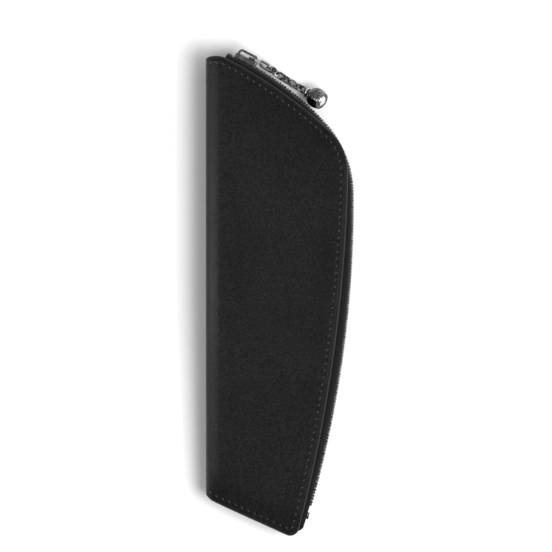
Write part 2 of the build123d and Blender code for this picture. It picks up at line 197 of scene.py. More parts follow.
def hide_outline():
    """Edge of a hide panel from the fold's bottom end, round the zip side, to its top end.

    Returns points, outward normals, and the distance along to the middle of the foot and of the corner."""
    foot_s = HIDE.s_where(lambda p: above_bottom(p) - FOOT_RADIUS, HIDE.corner_length, 0.2, FOOT_RADIUS)
    foot, foot_angle = HIDE.at(foot_s, FOOT_RADIUS)
    down = -math.pi / 2 - BOTTOM_SLOPE
    start = np.array([FOLD_X, bottom_y(FOLD_X)])
    sections = [
        (np.linspace(start, foot + unit(down) * FOOT_RADIUS, 90), np.tile(unit(down), (90, 1))),
        arc_points(foot, FOOT_RADIUS, down, foot_angle, 40),
        run_points(HIDE, foot_s, HIDE.corner_length, 240),
        run_points(HIDE, HIDE.corner_length, 0.0, 60),
        run_points(HIDE, 0.0, TOP_S, 120),
        arc_points(SHOULDER, SHOULDER_RADIUS, SHOULDER_ANGLE, TOP_ANGLE, 24),
    ]
    lengths = [lengths_along(points)[-1] for points, _ in sections]
    foot_middle = lengths[0] + lengths[1] / 2
    corner_middle = sum(lengths[:3]) + lengths[3] / 2
    points = np.concatenate([p for p, _ in sections])
    normals = np.concatenate([n for _, n in sections])
    keep = np.concatenate([[True], np.linalg.norm(np.diff(points, axis=0), axis=1) > 1e-7])
    return points[keep], normals[keep], lengths[0], foot_middle, corner_middle


def sample(values, lengths, places):
    return np.stack([np.interp(places, lengths, values[:, c]) for c in range(values.shape[1])], 1)


OUTLINE, OUTLINE_OUT, BOTTOM_LENGTH, FOOT_MIDDLE, CORNER_MIDDLE = hide_outline()
OUTLINE_LENGTHS = lengths_along(OUTLINE)
EDGE_PLACES = np.concatenate([
    np.linspace(0, FOOT_MIDDLE, ACROSS),
    np.linspace(FOOT_MIDDLE, CORNER_MIDDLE, ALONG)[1:],
    np.linspace(CORNER_MIDDLE, OUTLINE_LENGTHS[-1], ACROSS)[1:],
])


def ring(inset, places=EDGE_PLACES):
    """The panel's outline moved in, with its first and last points kept on the fold's line."""
    out = sample(OUTLINE_OUT, OUTLINE_LENGTHS, places)
    out /= np.linalg.norm(out, axis=1)[:, None]
    slide = inset * math.tan(BOTTOM_SLOPE) * np.clip(1 - places / BOTTOM_LENGTH, 0, 1)
    moved = sample(OUTLINE, OUTLINE_LENGTHS, places) - out * inset - slide[:, None] * unit(-BOTTOM_SLOPE)
    left = OUTLINE_LENGTHS[-1] - places
    slide = inset / math.tan(TOP_ANGLE) * np.clip(1 - left / SHOULDER_RADIUS, 0, 1)
    return moved + slide[:, None] * unit(TOP_ANGLE - math.pi / 2)


def line_distance(points, line):
    """Distance of plan points from a polyline."""
    best = np.full(len(points), 1.0)
    for start, step in zip(line[:-1], np.diff(line, axis=0)):
        share = np.clip(((points - start) @ step) / (step @ step), 0, 1)
        best = np.minimum(best, np.linalg.norm(points - start - share[:, None] * step, axis=1))
    return best


ZIP_SIDE_LINE = OUTLINE[OUTLINE_LENGTHS > FOOT_MIDDLE][::3]


def lesser(first, second, width):
    """The smaller of two values, rounded over a width and never above either."""
    near = np.maximum(width - np.abs(first - second), 0) / width
    return np.minimum(first, second) - near**2 * width / 4


def half_height(points):
    """Half the case's thickness over plan points: sewn flat, then a quick swell and a slow taper."""
    rise = above_bottom(points)
    steep = SEAM_HALF + (SWELL_HALF - SEAM_HALF) * rise / SWELL
    gentle = SWELL_HALF + (MIDDLE - SWELL_HALF) * (rise - SWELL) / (TAPER - SWELL)
    return lesser(lesser(steep, gentle, 1.2 * MM), MIDDLE, 0.6 * MM)


def fall(points):
    """How far the face falls away towards the zip."""
    share = np.clip(1 - line_distance(points, ZIP_SIDE_LINE) / PILLOW_WIDTH, 0, 1)
    near_fold = smooth((points[:, 0] - FOLD_X) / (12 * MM))
    return PILLOW_DROP * share**2 * near_fold * smooth(above_bottom(points) / SWELL)


def waves(points, seed):
    """Slow unevenness of a hand-stretched hide, always below its flat face."""
    wave = np.array([noise.noise(Vector((x / 0.021, y / 0.033, seed))) - 0.9 for x, y in points])
    calm = smooth(line_distance(points, OUTLINE[::3]) / (5 * MM))
    calm = calm * smooth((points[:, 0] - FOLD_X) / (8 * MM))
    return 0.14 * MM * wave * calm


def skin(points, depth=0.0, seed=0.0):
    """Height of the front panel over plan points, at a depth below its outer face."""
    return MIDDLE + np.maximum(half_height(points) - fall(points) - depth, 0.03 * MM) + waves(points, seed)


# --- Mesh helpers ---------------------------------------------------------------------------------
def new_object(name, mesh):
    piece = bpy.data.objects.new(name, mesh)
    bpy.context.scene.collection.objects.link(piece)
    return piece


def mesh_object(name, points, faces, finish=None):
    mesh = bpy.data.meshes.new(name)
    mesh.from_pydata([tuple(p) for p in points], [], [tuple(int(i) for i in f) for f in faces])
    mesh.validate()
    mesh.shade_smooth()
    if finish:
        mesh.materials.append(finish)
    return new_object(name, mesh)


def quads(first, second):
    """Faces between two equally long rows of vertex numbers."""
    return [(first[i], first[i + 1], second[i + 1], second[i]) for i in range(len(first) - 1)]


def set_attribute(piece, name, values):
    attribute = piece.data.attributes.new(name, "FLOAT", "POINT")
    attribute.data.foreach_set("value", np.asarray(values, np.float32))


def baked(piece):
    """The piece's evaluated mesh in place of its own, with its modifiers gone."""
    graph = bpy.context.evaluated_depsgraph_get()
    graph.update()
    mesh = bpy.data.meshes.new_from_object(piece.evaluated_get(graph), depsgraph=graph)
    piece.modifiers.clear()
    old = piece.data
    piece.data = mesh
    bpy.data.meshes.remove(old)
    mesh.name = piece.name
    return piece


def finished(piece, body, replaces=(), bend=None):
    """Ties a piece to its body, or bends it between two, and hides the CAD parts it stands for."""
    if bend:
        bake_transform(piece, *bend, start=BEND_START, end=BEND_END)
    else:
        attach(piece, body)
    if replaces:
        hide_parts(*replaces)
    return piece


class Panel:
    """Quad grid of one panel in plan: rings that follow the edge, round a patch that fills the middle."""

    def __init__(self, profile):
        rings = [ring(inset) for inset, _ in profile]
        size = len(rings[0])
        last = rings[-1]
        bottom, side = last[:ACROSS], last[ACROSS - 1:ACROSS + ALONG - 1]
        top = last[ACROSS + ALONG - 2:][::-1]
        left = np.linspace(bottom[0], top[0], ALONG)
        u = np.linspace(0, 1, ACROSS)[None, :, None]
        v = np.linspace(0, 1, ALONG)[:, None, None]
        ruled = (1 - v) * bottom[None] + v * top[None] + (1 - u) * left[:, None] + u * side[:, None]
        corners = (1 - v) * ((1 - u) * bottom[0] + u * bottom[-1]) + v * ((1 - u) * top[0] + u * top[-1])
        patch = (ruled - corners).reshape(-1, 2)
        outer_count = size * (len(rings) - 1)
        self.plan = np.concatenate([*rings[:-1], patch])
        self.sink = np.zeros(len(self.plan))
        for number, (_, sink) in enumerate(profile[:-1]):
            self.sink[number * size:(number + 1) * size] = sink
        grid = np.arange(ACROSS * ALONG).reshape(ALONG, ACROSS) + outer_count
        rows = [np.arange(size) + number * size for number in range(len(rings) - 1)]
        rows.append(np.concatenate([grid[0], grid[1:, -1], grid[-1, -2::-1]]))
        self.faces = [face for a, b in zip(rows, rows[1:]) for face in quads(a, b)]
        self.faces += [face for a, b in zip(grid, grid[1:]) for face in quads(a, b)]
        self.edge = rows[0]
        self.left = np.array([*[row[0] for row in rows], *grid[1:-1, 0], *[row[-1] for row in rows[::-1]]])
        self.from_edge = line_distance(self.plan, OUTLINE[::2])


WRAP_ARC = 14
CORNER_WIDTH = 3.5 * MM              # the fold's corners are rounded over this width
FOOT_CUT, HEAD_CUT = 1.1 * MM, 0.5 * MM


def wrap_columns(panel, depth):
    """The fold's columns, from the front panel round to the back, at a depth below the skin."""
    rows = panel.plan[panel.left]
    half = half_height(rows)
    radius = np.minimum(SPINE_RADIUS, 0.96 * half)
    deep = np.minimum(depth + panel.sink[panel.left], 0.9 * radius)
    straight = half - radius
    turn = np.linspace(0, math.pi / 2, WRAP_ARC)
    stations = [(math.sin(t), 1, math.cos(t)) for t in turn]
    stations += [(1, share, 0) for share in (0.5, 0.0, -0.5)]
    stations += [(math.sin(t), -1, -math.cos(t)) for t in turn[::-1]]
    columns = []
    for sine, side, cosine in stations:
        x = SPINE_X + radius - (radius - deep) * sine
        z = MIDDLE + straight * side + (radius - deep) * cosine
        columns.append((x, z))
    columns.append((np.full(len(rows), FOLD_X), MIDDLE - half + deep))
    share = (rows[:, 1] - bottom_y(FOLD_X)) / (top_y(FOLD_X) - bottom_y(FOLD_X))
    wrapped = []
    for x, z in columns:
        near = np.clip(1 - (x - SPINE_X) / CORNER_WIDTH, 0, 1) ** 2
        low = bottom_y(x) + FOOT_CUT * near
        high = top_y(x) - HEAD_CUT * near
        wrapped.append(np.stack([x, low + share * (high - low), z], 1))
    return wrapped


def sheet_points(panel, depth, back, seed):
    deep = depth + panel.sink
    height = skin(panel.plan, 0.0, seed)
    lowest = MIDDLE + 0.03 * MM
    height = np.maximum(height - deep, lowest)
    if back:
        height = 2 * MIDDLE - height
    return np.concatenate([panel.plan, height[:, None]], 1)


def leather_sheet(name, profile, outer, inner, back=False, bulge=0.0, finish=None):
    """A closed sheet between two depths. The front one carries the fold; the back one stops at it."""
    panel = Panel(profile)
    bare = Panel([(inset, 0.0) for inset, _ in profile])
    seed = 7.0 if back else 0.0
    layers, edges = [], []
    for grid, depth in ((panel, outer), (bare, inner)):
        points = [sheet_points(grid, depth, back, seed)]
        faces = list(grid.faces)
        loop = list(grid.edge)
        from_edge = [grid.from_edge]
        rows = len(grid.left)
        if back:
            loop += list(grid.left[::-1][1:-1])
        else:
            columns = wrap_columns(grid, depth)
            numbers = [grid.left]
            base = len(grid.plan)
            for column in columns:
                points.append(column)
                from_edge.append(grid.from_edge[grid.left])
                numbers.append(np.arange(rows) + base)
                base += rows
            for near, far in zip(numbers, numbers[1:]):
                faces += quads(near, far)
            loop += [column[-1] for column in numbers[1:]]
            loop += list(numbers[-1][::-1][1:])
            loop += [column[0] for column in numbers[1:-1][::-1]]
        layers.append((np.concatenate(points), faces, np.array(loop), np.concatenate(from_edge)))
    (top, top_faces, top_loop, top_edge), (under, under_faces, under_loop, under_edge) = layers
    count = len(top)
    upper, lower = top[top_loop], under[under_loop]
    side = len(panel.edge)
    outward = np.zeros((len(upper), 3))
    normals = sample(OUTLINE_OUT, OUTLINE_LENGTHS, EDGE_PLACES)
    outward[:side, :2] = normals / np.linalg.norm(normals, axis=1)[:, None]
    if not back:
        columns = len(columns)
        outward[side:side + columns, 1] = 1
        outward[-(columns - 1):, :2] = unit(-math.pi / 2 - BOTTOM_SLOPE)
    shares = (0.33, 0.67) if bulge else ()
    points = [top, under]
    loops = [top_loop]
    base = 2 * count
    for share in shares:
        points.append(upper * (1 - share) + lower * share + outward * bulge)
        loops.append(np.arange(len(upper)) + base)
        base += len(upper)
    loops.append(under_loop + count)
    faces = top_faces + [tuple(i + count for i in face[::-1]) for face in under_faces]
    for high, low in zip(loops, loops[1:]):
        faces += quads(np.append(low, low[0]), np.append(high, high[0]))
    if back:
        faces = [face[::-1] for face in faces]
    piece = mesh_object(name, np.concatenate(points), faces, finish)
    edge = [top_edge, under_edge] + [np.zeros(len(upper))] * len(shares)
    set_attribute(piece, "from_edge", np.concatenate(edge))
    return piece


# --- Node trees -----------------------------------------------------------------------------------
def new_tree(name, sockets):
    tree = bpy.data.node_groups.new(name, "GeometryNodeTree")
    tree.interface.new_socket("Line", in_out="INPUT", socket_type="NodeSocketGeometry")
    for label, kind in sockets:
        tree.interface.new_socket(label, in_out="INPUT", socket_type="NodeSocket" + kind)
    tree.interface.new_socket("Finish", in_out="INPUT", socket_type="NodeSocketMaterial")
    tree.interface.new_socket("Geometry", in_out="OUTPUT", socket_type="NodeSocketGeometry")
    return tree, tree.nodes.new("NodeGroupInput"), tree.nodes.new("NodeGroupOutput")


def add_node(tree, kind, settings=None, **inputs):
    node = tree.nodes.new(kind)
    for key, value in (settings or {}).items():
        setattr(node, key, value)
    for key, value in inputs.items():
        socket = node.inputs[key.replace("_", " ")]
        if isinstance(value, bpy.types.NodeSocket):
            tree.links.new(value, socket)
        else:
            socket.default_value = value
    return node


def end_tree(tree, group, out, geometry):
    real = add_node(tree, "GeometryNodeRealizeInstances", Geometry=geometry)
    painted = add_node(
        tree, "GeometryNodeSetMaterial", Geometry=real.outputs[0], Material=group.outputs["Finish"],
    )
    tree.links.new(painted.outputs[0], out.inputs[0])


def repeat_tree():
    """Repeats an item along a line at a pitch, x along the line and z along the line's up attribute."""
    sockets = [("Item", "Object")]
    sockets += [("Pitch", "Float"), ("Slant", "Float"), ("Wander", "Float"), ("Seed", "Int")]
    tree, group, out = new_tree("Repeat along a line", sockets)
    curve = add_node(tree, "GeometryNodeMeshToCurve", Mesh=group.outputs["Line"])
    spread = add_node(
        tree, "GeometryNodeCurveToPoints", {"mode": "LENGTH"},
        Curve=curve.outputs[0], Length=group.outputs["Pitch"],
    )
    up = add_node(tree, "GeometryNodeInputNamedAttribute", {"data_type": "FLOAT_VECTOR"}, Name="up")
    along = add_node(
        tree, "FunctionNodeAlignRotationToVector", {"axis": "X"}, Vector=spread.outputs["Tangent"],
    )
    upright = add_node(
        tree, "FunctionNodeAlignRotationToVector", {"axis": "Z", "pivot_axis": "X"},
        Rotation=along.outputs[0], Vector=up.outputs[0],
    )
    chance = add_node(tree, "FunctionNodeRandomValue", {"data_type": "FLOAT"}, Seed=group.outputs["Seed"])
    floats = [s for s in chance.inputs if s.type == "VALUE"]
    floats[0].default_value = -1.0
    floats[1].default_value = 1.0
    chance_out = next(s for s in chance.outputs if s.type == "VALUE")
    wander = add_node(tree, "ShaderNodeMath", {"operation": "MULTIPLY_ADD"})
    tree.links.new(chance_out, wander.inputs[0])
    tree.links.new(group.outputs["Wander"], wander.inputs[1])
    tree.links.new(group.outputs["Slant"], wander.inputs[2])
    slant = add_node(tree, "FunctionNodeAxisAngleToRotation", Axis=(0, 0, 1), Angle=wander.outputs[0])
    turned = add_node(
        tree, "FunctionNodeRotateRotation", {"rotation_space": "LOCAL"},
        Rotation=upright.outputs[0], Rotate_By=slant.outputs[0],
    )
    item = add_node(
        tree, "GeometryNodeObjectInfo", {"transform_space": "ORIGINAL"}, Object=group.outputs["Item"],
    )
    placed = add_node(
        tree, "GeometryNodeInstanceOnPoints", Points=spread.outputs["Points"],
        Instance=item.outputs["Geometry"], Rotation=turned.outputs[0],
    )
    end_tree(tree, group, out, placed.outputs[0])
    return tree


def wire_tree():
    """Round wire along a line."""
    tree, group, out = new_tree("Wire along a line", [("Radius", "Float"), ("Sides", "Int")])
    curve = add_node(tree, "GeometryNodeMeshToCurve", Mesh=group.outputs["Line"])
    section = add_node(
        tree, "GeometryNodeCurvePrimitiveCircle",
        Resolution=group.outputs["Sides"], Radius=group.outputs["Radius"],
    )
    wire = add_node(
        tree, "GeometryNodeCurveToMesh",
        Curve=curve.outputs[0], Profile_Curve=section.outputs[0], Fill_Caps=True,
    )
    soft = add_node(tree, "GeometryNodeSetShadeSmooth", Geometry=wire.outputs[0])
    end_tree(tree, group, out, soft.outputs[0])
    return tree


def grown(name, tree, lines, ups=None, closed=False, **inputs):
    """Mesh that a tree grows from lines, as a plain piece."""
    points, edges, base = [], [], 0
    for line in lines:
        count = len(line)
        edges += [(base + i, base + i + 1) for i in range(count - 1)]
        if closed:
            edges.append((base + count - 1, base))
        points += [tuple(p) for p in line]
        base += count
    mesh = bpy.data.meshes.new(name)
    mesh.from_pydata(points, edges, [])
    if ups is not None:
        attribute = mesh.attributes.new("up", "FLOAT_VECTOR", "POINT")
        attribute.data.foreach_set("vector", np.concatenate(ups).astype(np.float32).ravel())
    piece = new_object(name, mesh)
    modifier = piece.modifiers.new("Grow", "NODES")
    modifier.node_group = tree
    for item in tree.interface.items_tree:
        if item.in_out == "INPUT" and item.name in inputs:
            modifier[item.identifier] = inputs[item.name]
    baked(piece)
    for attribute in [a.name for a in piece.data.attributes if a.name == "up"]:
        piece.data.attributes.remove(piece.data.attributes[attribute])
    return piece


# --- Finishes -------------------------------------------------------------------------------------
def finish_base(name, colour, roughness, **shader):
    material = bpy.data.materials.new(name)
    material.use_nodes = True
    tree = material.node_tree
    bsdf = tree.nodes["Principled BSDF"]
    bsdf.inputs["Base Color"].default_value = (*colour, 1)
    bsdf.inputs["Roughness"].default_value = roughness
    for key, value in shader.items():
        bsdf.inputs[key.replace("_", " ")].default_value = value
    place = tree.nodes.new("ShaderNodeTexCoord").outputs["Object"]
    return material, tree, bsdf, place


def noise_of(tree, place, size, detail=3.0, roughness=0.55, stretch=None):
    """Noise with features about as large as size, in metres."""
    if stretch:
        place = add_node(tree, "ShaderNodeMapping", Vector=place, Scale=stretch).outputs[0]
    return add_node(
        tree, "ShaderNodeTexNoise", Vector=place, Scale=1 / size, Detail=detail, Roughness=roughness,
    ).outputs[0]


def spread_of(tree, value, low, high, from_low=0.3, from_high=0.7):
    return add_node(
        tree, "ShaderNodeMapRange",
        Value=value, From_Min=from_low, From_Max=from_high, To_Min=low, To_Max=high,
    ).outputs[0]


def colours_of(tree, value, *stops):
    """Colour ramp over (place, colour) stops."""
    ramp = add_node(tree, "ShaderNodeValToRGB", Fac=value)
    elements = ramp.color_ramp.elements
    for number, (place, colour) in enumerate(stops):
        element = elements[number] if number < 2 else elements.new(place)
        element.position = place
        element.color = (*colour, 1)
    return ramp.outputs[0]


def bump_of(tree, bsdf, layers):
    """Stacked bumps: (height, distance, strength)."""
    normal = None
    for height, distance, strength in layers:
        bump = add_node(tree, "ShaderNodeBump", Height=height, Distance=distance, Strength=strength)
        if normal:
            tree.links.new(normal, bump.inputs["Normal"])
        normal = bump.outputs[0]
    tree.links.new(normal, bsdf.inputs["Normal"])


def shade(colour, share):
    return tuple(channel * share for channel in colour)


def leather_finish(name, colour, roughness, grain, edged=True):
    """Smooth dyed calf: fine pebble grain with painted grain shading in its colour, soft wear, and a
    burnished edge with a painted highlight along it.
    """
    material, tree, bsdf, place = finish_base(name, colour, roughness, Specular_IOR_Level=0.13)
    pebble = add_node(tree, "ShaderNodeTexVoronoi", {"feature": "SMOOTH_F1"}, Vector=place, Scale=1 / grain)
    pores = noise_of(tree, place, grain / 3, 2.0)
    crease = noise_of(tree, place, grain * 7, 5.0, 0.6, (1.0, 0.45, 1.0))
    cloud = noise_of(tree, place, 0.02, 4.0)
    plain = spread_of(tree, cloud, roughness - 0.05, roughness + 0.06)
    rough = plain
    # Spots near the grain's size scale the colour from a quarter to about twice: painted shading and
    # highlights of the pebble grain.
    painted_grain_shade = noise_of(tree, place, grain * 1.6, 3.0, 0.75)
    dyed = colours_of(tree, cloud, (0.3, shade(colour, 0.8)), (0.7, shade(colour, 1.25)))
    # The mottled dye, multiplied by the painted grain shading.
    mottle_and_grain_shade = add_node(tree, "ShaderNodeVectorMath", {"operation": "SCALE"})
    tree.links.new(dyed, mottle_and_grain_shade.inputs[0])
    tree.links.new(spread_of(tree, painted_grain_shade, 0.25, 2.1, 0.36, 0.64), mottle_and_grain_shade.inputs["Scale"])
    base = mottle_and_grain_shade.outputs[0]
    if edged:
        edge = add_node(tree, "ShaderNodeAttribute", {"attribute_name": "from_edge"}).outputs["Fac"]
        # From the edge to 0.65 mm in, worn lowers the roughness of the burnished edge and lightens its
        # colour fivefold: a painted highlight along the edge.
        worn = spread_of(tree, edge, 1.0, 0.0, 0.2 * MM, 0.65 * MM)
        painted_edge_highlight = add_node(tree, "ShaderNodeMix", {"data_type": "RGBA"})
        tree.links.new(worn, painted_edge_highlight.inputs[0])
        tree.links.new(base, painted_edge_highlight.inputs[6])
        # Five times the dye at the very edge: painted highlight.
        painted_edge_highlight.inputs[7].default_value = (*shade(colour, 5.0), 1)
        tree.links.new(painted_edge_highlight.outputs[2], bsdf.inputs["Base Color"])
        rough = add_node(tree, "ShaderNodeMath", {"operation": "MULTIPLY_ADD"})
        tree.links.new(worn, rough.inputs[0])
        rough.inputs[1].default_value = -0.12
        tree.links.new(plain, rough.inputs[2])
        rough = rough.outputs[0]
    else:
        tree.links.new(base, bsdf.inputs["Base Color"])
    tree.links.new(rough, bsdf.inputs["Roughness"])
    bump_of(tree, bsdf, [
        (crease, 0.08 * MM, 0.5),
        (pebble.outputs["Distance"], 0.08 * MM, 0.8),
        (pores, 0.02 * MM, 0.6),
    ])
    return material


def woven_finish(name, colour, thread, roughness, on_uv=False, lean=1.0):
    """Cloth of slanted ribs crossed by finer threads."""
    material, tree, bsdf, place = finish_base(
        name, colour, roughness, Sheen_Weight=0.03, Sheen_Roughness=0.5, Specular_IOR_Level=0.08,
    )
    if on_uv:
        place = add_node(tree, "ShaderNodeUVMap", {"uv_map": "weave"}).outputs[0]
        thread = thread / MM
    mapped = add_node(tree, "ShaderNodeMapping", Vector=place, Scale=(1.0, lean, 1.0)).outputs[0]
    wave = {"wave_type": "BANDS", "bands_direction": "DIAGONAL"}
    ribs = add_node(
        tree, "ShaderNodeTexWave", wave, Vector=mapped, Scale=0.32 / thread, Distortion=0.6, Detail=1.0,
    )
    cross = {"wave_type": "BANDS", "bands_direction": "X"}
    ends = add_node(
        tree, "ShaderNodeTexWave", cross, Vector=place, Scale=0.32 / thread * 1.7, Distortion=0.4,
    )
    mix = add_node(tree, "ShaderNodeMath", {"operation": "MULTIPLY_ADD"})
    tree.links.new(ends.outputs["Fac"], mix.inputs[0])
    mix.inputs[1].default_value = 0.4
    tree.links.new(ribs.outputs["Fac"], mix.inputs[2])
    dye = colours_of(tree, mix.outputs[0], (0.1, shade(colour, 0.45)), (0.9, shade(colour, 1.5)))
    tree.links.new(dye, bsdf.inputs["Base Color"])
    worn = spread_of(tree, mix.outputs[0], roughness + 0.08, roughness - 0.06, 0, 1.4)
    tree.links.new(worn, bsdf.inputs["Roughness"])
    bump_of(tree, bsdf, [(mix.outputs[0], 0.12 * MM, 0.7)])
    return material


def metal_finish(name, colour, roughness, brush=0.0008, tarnish=0.7, patch=0.003):
    """Plated metal: fine polishing lines, faint handling marks and a duller tone in patches."""
    material, tree, bsdf, place = finish_base(name, colour, roughness, Metallic=1.0)
    lines = noise_of(tree, place, brush, 4.0, 0.7, (1.0, 0.25, 3.0))
    cloud = noise_of(tree, place, patch, 3.0)
    marks = noise_of(tree, place, 0.0004, 2.0)
    tree.links.new(spread_of(tree, cloud, roughness - 0.05, roughness + 0.1), bsdf.inputs["Roughness"])
    tone = colours_of(tree, cloud, (0.42, shade(colour, tarnish)), (0.64, colour))
    tree.links.new(tone, bsdf.inputs["Base Color"])
    bump_of(tree, bsdf, [(lines, 0.01 * MM, 0.25), (marks, 0.006 * MM, 0.2)])
    return material


def thread_finish(name, colour):
    material, tree, bsdf, place = finish_base(name, colour, 0.48, Sheen_Weight=0.2, Specular_IOR_Level=0.5)
    fibre = noise_of(tree, place, 0.00012, 2.0)
    dyed = colours_of(tree, fibre, (0.3, shade(colour, 0.6)), (0.7, shade(colour, 1.4)))
    tree.links.new(dyed, bsdf.inputs["Base Color"])
    bump_of(tree, bsdf, [(fibre, 0.02 * MM, 0.5)])
    return material


def felt_finish(name, colour):
    material, tree, bsdf, place = finish_base(name, colour, 0.95, Specular_IOR_Level=0.15)
    fuzz = noise_of(tree, place, 0.0003, 5.0, 0.8)
    dyed = colours_of(tree, fuzz, (0.3, shade(colour, 0.6)), (0.7, shade(colour, 1.3)))
    tree.links.new(dyed, bsdf.inputs["Base Color"])
    bump_of(tree, bsdf, [(fuzz, 0.1 * MM, 0.6)])
    return material


def enamel_finish(name, colour):
    material, tree, bsdf, place = finish_base(name, colour, 0.12, Coat_Weight=0.6, Coat_Roughness=0.05)
    ripple = noise_of(tree, place, 0.0012, 2.0)
    tree.links.new(spread_of(tree, ripple, 0.1, 0.18), bsdf.inputs["Roughness"])
    bump_of(tree, bsdf, [(ripple, 0.01 * MM, 0.2)])
    return material


# --- Settings a user would change -----------------------------------------------------------------
def length(label, text, value, low=0.0, high=1.0):
    return FloatProperty(
        name=label, description=text, default=value, min=low, max=high, unit="LENGTH", precision=5,
    )


def dye(label, text, value):
    return FloatVectorProperty(
        name=label, description=text, default=value, subtype="COLOR", size=3, min=0, max=1,
    )


def amount(label, text, value):
    return FloatProperty(name=label, description=text, default=value, min=0)


class PENCASE_PG_hide(bpy.types.PropertyGroup):
    thickness: length("Leather thickness", "Thickness of the hide", 1.3 * MM)
    bead: length("Bead", "Distance from the edge to the creased line", 0.95 * MM)
    crease: length("Crease depth", "Depth of the creased line beside the edge", 0.14 * MM)
    channel: length("Stitch channel", "Distance from the edge to the stitching", 2.4 * MM)
    channel_depth: length("Channel depth", "Depth of the channel that the stitches lie in", 0.12 * MM)
    grain: length("Grain", "Size of one pebble of the grain", 0.55 * MM)
    colour: dye("Leather", "Dye of the hide", (0.0045, 0.0043, 0.0043))


class PENCASE_PG_inside(bpy.types.PropertyGroup):
    interlining: length("Interlining", "Thickness of the stiffening", 0.4 * MM)
    lining: length("Lining", "Thickness of the lining cloth", 0.5 * MM)
    inset: length("Edge inset", "Cut edges of the linings, set back from the leather's edge", 0.4 * MM)
    colour: dye("Lining", "Dye of the lining cloth", (0.018, 0.018, 0.021))
    felt: dye("Felt", "Colour of the stiffening", (0.03, 0.03, 0.03))


class PENCASE_PG_zip(bpy.types.PropertyGroup):
    tape: length("Tape thickness", "Thickness of the woven tape", 0.4 * MM)
    hem: length("Hem", "Width of tape sewn in under the leather", 6.5 * MM)
    shoulder: length("Shoulder", "Height over which the tape turns down from the leather", 2.8 * MM)
    count: IntProperty(name="Teeth", description="Teeth in each row", default=80, min=2)
    pitch: length("Pitch", "Distance between teeth in a row", 2.2 * MM)
    tooth_width: length("Tooth width", "Length of one tooth along the zip", 1.0 * MM)
    tooth_depth: length("Tooth depth", "Half the tooth's size across the tape", 0.9 * MM)
    head: length("Head", "How far a tooth reaches over the middle", 0.9 * MM)
    root: length("Root", "How far a tooth's legs reach from the middle", 2.0 * MM)
    colour: dye("Tape", "Dye of the tape", (0.0065, 0.0065, 0.007))
    metal: dye("Teeth", "Colour of the teeth", (0.3, 0.3, 0.31))


class PENCASE_PG_thread(bpy.types.PropertyGroup):
    pitch: length("Stitch pitch", "Distance between stitches", 2.46 * MM)
    length: length("Stitch length", "Visible length of one stitch", 1.7 * MM)
    radius: length("Thread radius", "Radius of the twisted thread", 0.21 * MM)
    slant: FloatProperty(
        name="Slant", description="Turn of each stitch from the seam", default=math.radians(-40),
        subtype="ANGLE",
    )
    colour: dye("Thread", "Dye of the thread", (0.0135, 0.013, 0.0135))


class PENCASE_PG_pull(bpy.types.PropertyGroup):
    wire: length("Link wire", "Thickness of the links' wire", 0.8 * MM)
    length: length("Link length", "Outside length of a link", 4.2 * MM)
    width: length("Link width", "Outside width of a link", 3.3 * MM)
    metal: dye("Slider and links", "Colour of the plated metal", (0.5, 0.5, 0.51))


class PENCASE_PG_bell(bpy.types.PropertyGroup):
    neck: length("Neck radius", "Radius of the bell's neck", 1.2 * MM)
    radius: length("Bell radius", "Largest radius of the bell", 3.6 * MM)
    length: length("Bell length", "Length of the bell from neck to rim", 6.2 * MM)
    rim: length("Rim radius", "Outer radius of the rim", 3.1 * MM)
    enamel: dye("Enamel", "Colour of the enamel ring", (0.004, 0.004, 0.004))
    metal: dye("Bell", "Colour of the bell's smoked plating", (0.26, 0.255, 0.26))


class PENCASE_PG_stage(bpy.types.PropertyGroup):
    field: length("Field", "Width of what the camera sees", 195.4 * MM)
    distance: length("Camera distance", "Height of the camera above the case", 1.5, 0.1, 10)
    aim_x: length("Aim X", "Camera position across the case", -1.4 * MM, -1.0)
    aim_y: length("Aim Y", "Camera position along the case", 6.2 * MM, -1.0)
    world: amount("Surroundings", "Brightness of the surroundings", 0.56)
    key: amount("Key light", "Power of the light from the right", 11.5)
    strip: amount("Strip lights", "Power of the lights that only gloss catches", 2.6)
    floor: dye("Floor", "Colour of the floor", (0.93, 0.93, 0.93))


# --- Shapes shared by the operators ---------------------------------------------------------------
def hide_profile(hide):
    """Insets from the edge, each with its depth below the face: rounded edge, crease and channel."""
    bead, crease, channel = hide.bead, hide.crease, hide.channel
    width, slope = 0.15 * MM, 0.35 * MM
    return [
        (0.0, 0.42 * MM), (0.08 * MM, 0.2 * MM), (0.22 * MM, 0.06 * MM), (0.42 * MM, 0.0),
        (bead - width, 0.0), (bead, crease), (bead + width, 0.0),
        (channel - slope, 0.0), (channel, hide.channel_depth), (channel + slope, 0.0), (EDGE_BAND, 0.0),
    ]


def rounded_cad(name, node, width, finish):
    """A copy of a CAD node with its corners eased."""
    mesh = frame["nodes"][node].data.copy()
    shape = bmesh.new()
    shape.from_mesh(mesh)
    bmesh.ops.remove_doubles(shape, verts=shape.verts, dist=0.0005 * MM)
    bmesh.ops.dissolve_limit(
        shape, angle_limit=math.radians(1.0), verts=shape.verts, edges=shape.edges, delimit=set(),
    )
    sharp = [e for e in shape.edges if len(e.link_faces) == 2 and e.calc_face_angle(0) > math.radians(38)]
    bmesh.ops.bevel(
        shape, geom=sharp, offset=width, segments=3, profile=0.5, affect="EDGES", clamp_overlap=True,
        offset_type="OFFSET", miter_outer="ARC",
    )
    bmesh.ops.triangulate(shape, faces=[f for f in shape.faces if len(f.verts) > 4])
    bmesh.ops.dissolve_degenerate(shape, dist=0.0002 * MM, edges=shape.edges)
    shape.to_mesh(mesh)
    shape.free()
    mesh.materials.clear()
    mesh.materials.append(finish)
    mesh.shade_smooth()
    piece = new_object(name, mesh)
    piece.modifiers.new("Normals", "WEIGHTED_NORMAL").keep_sharp = True
    return baked(piece)


